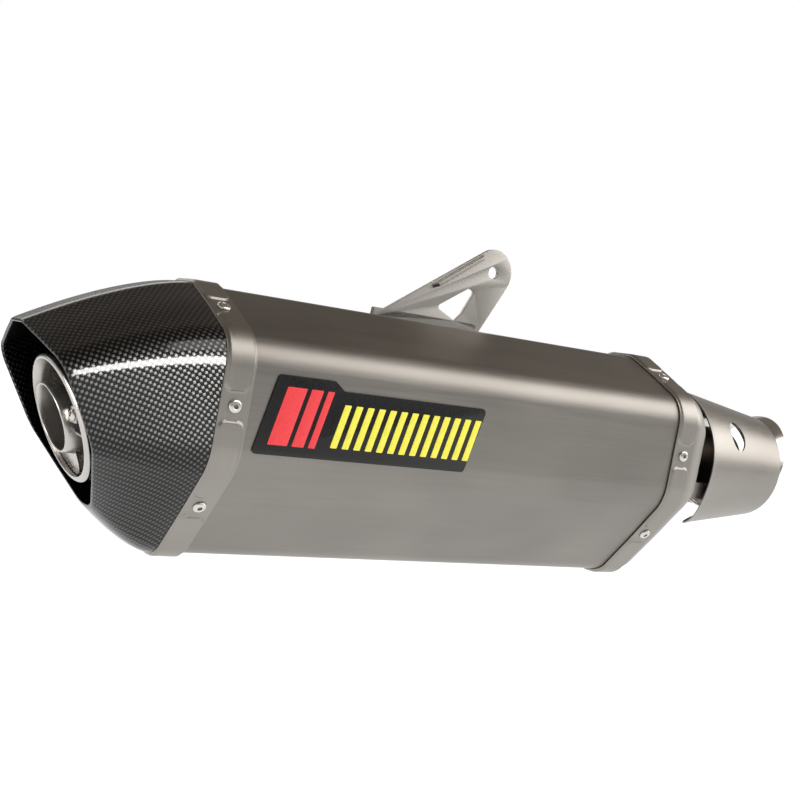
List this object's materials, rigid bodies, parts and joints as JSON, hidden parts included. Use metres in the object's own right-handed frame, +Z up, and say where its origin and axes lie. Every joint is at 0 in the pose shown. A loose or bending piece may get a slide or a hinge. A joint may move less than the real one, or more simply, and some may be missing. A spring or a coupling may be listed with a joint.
{
  "type": "racing exhaust silencer",
  "caption": "Slip-on racing silencer with a titanium sleeve, a slanted carbon end cap, a removable noise damper and an inlet shroud, hung by one bracket.",
  "frame": {"origin": "middle of the bounding box", "axes": "+X along the silencer from the outlet to the inlet, +Z up; the badge side faces -Y"},
  "size_m": [0.6248, 0.1398, 0.2214],
  "materials": {
    "titanium": "satin brushed titanium",
    "bright_steel": "bright stainless steel",
    "dull_steel": "dull stainless steel",
    "carbon_fibre": "clear-coated plain-weave carbon fibre",
    "steel_wool": "matted steel wool",
    "glass_wool": "matted glass fibre",
    "badge": null
  },
  "bodies": {
    "silencer": {"outer_sleeve": "titanium", "rear_band": "titanium", "front_band": "titanium", "carbon_end_cap": "carbon_fibre", "front_cap": "titanium", "rear_bulkhead": "dull_steel", "front_bulkhead": "dull_steel", "outlet_tube": "bright_steel", "outlet_lug": "bright_steel", "core_tube": "dull_steel", "steel_wool_wrap": "steel_wool", "glass_wool_packing": "glass_wool", "inlet_pipe": "bright_steel", "inlet_shroud": "titanium", "inlet_collar": "bright_steel", "shroud_stay_1": "titanium", "shroud_stay_2": "titanium", "shroud_stay_3": "titanium", "hanger_bracket": "bright_steel", "badge_plate": "badge", "rear_rivet_1": "bright_steel", "rear_rivet_2": "bright_steel", "rear_rivet_3": "bright_steel", "rear_rivet_4": "bright_steel", "rear_rivet_5": "bright_steel", "rear_rivet_6": "bright_steel", "front_rivet_1": "bright_steel", "front_rivet_2": "bright_steel", "front_rivet_3": "bright_steel", "front_rivet_4": "bright_steel", "front_rivet_5": "bright_steel", "front_rivet_6": "bright_steel"},
    "damper": {"damper_tube": "bright_steel", "damper_plate": "bright_steel", "damper_tab": "bright_steel", "damper_screw": "dull_steel"}
  },
  "joints": [
    {"name": "damper_slide", "type": "slide", "parent": "silencer", "child": "damper", "axis": [-1, 0, 0], "range_m": [0, 0.12]}
  ]
}
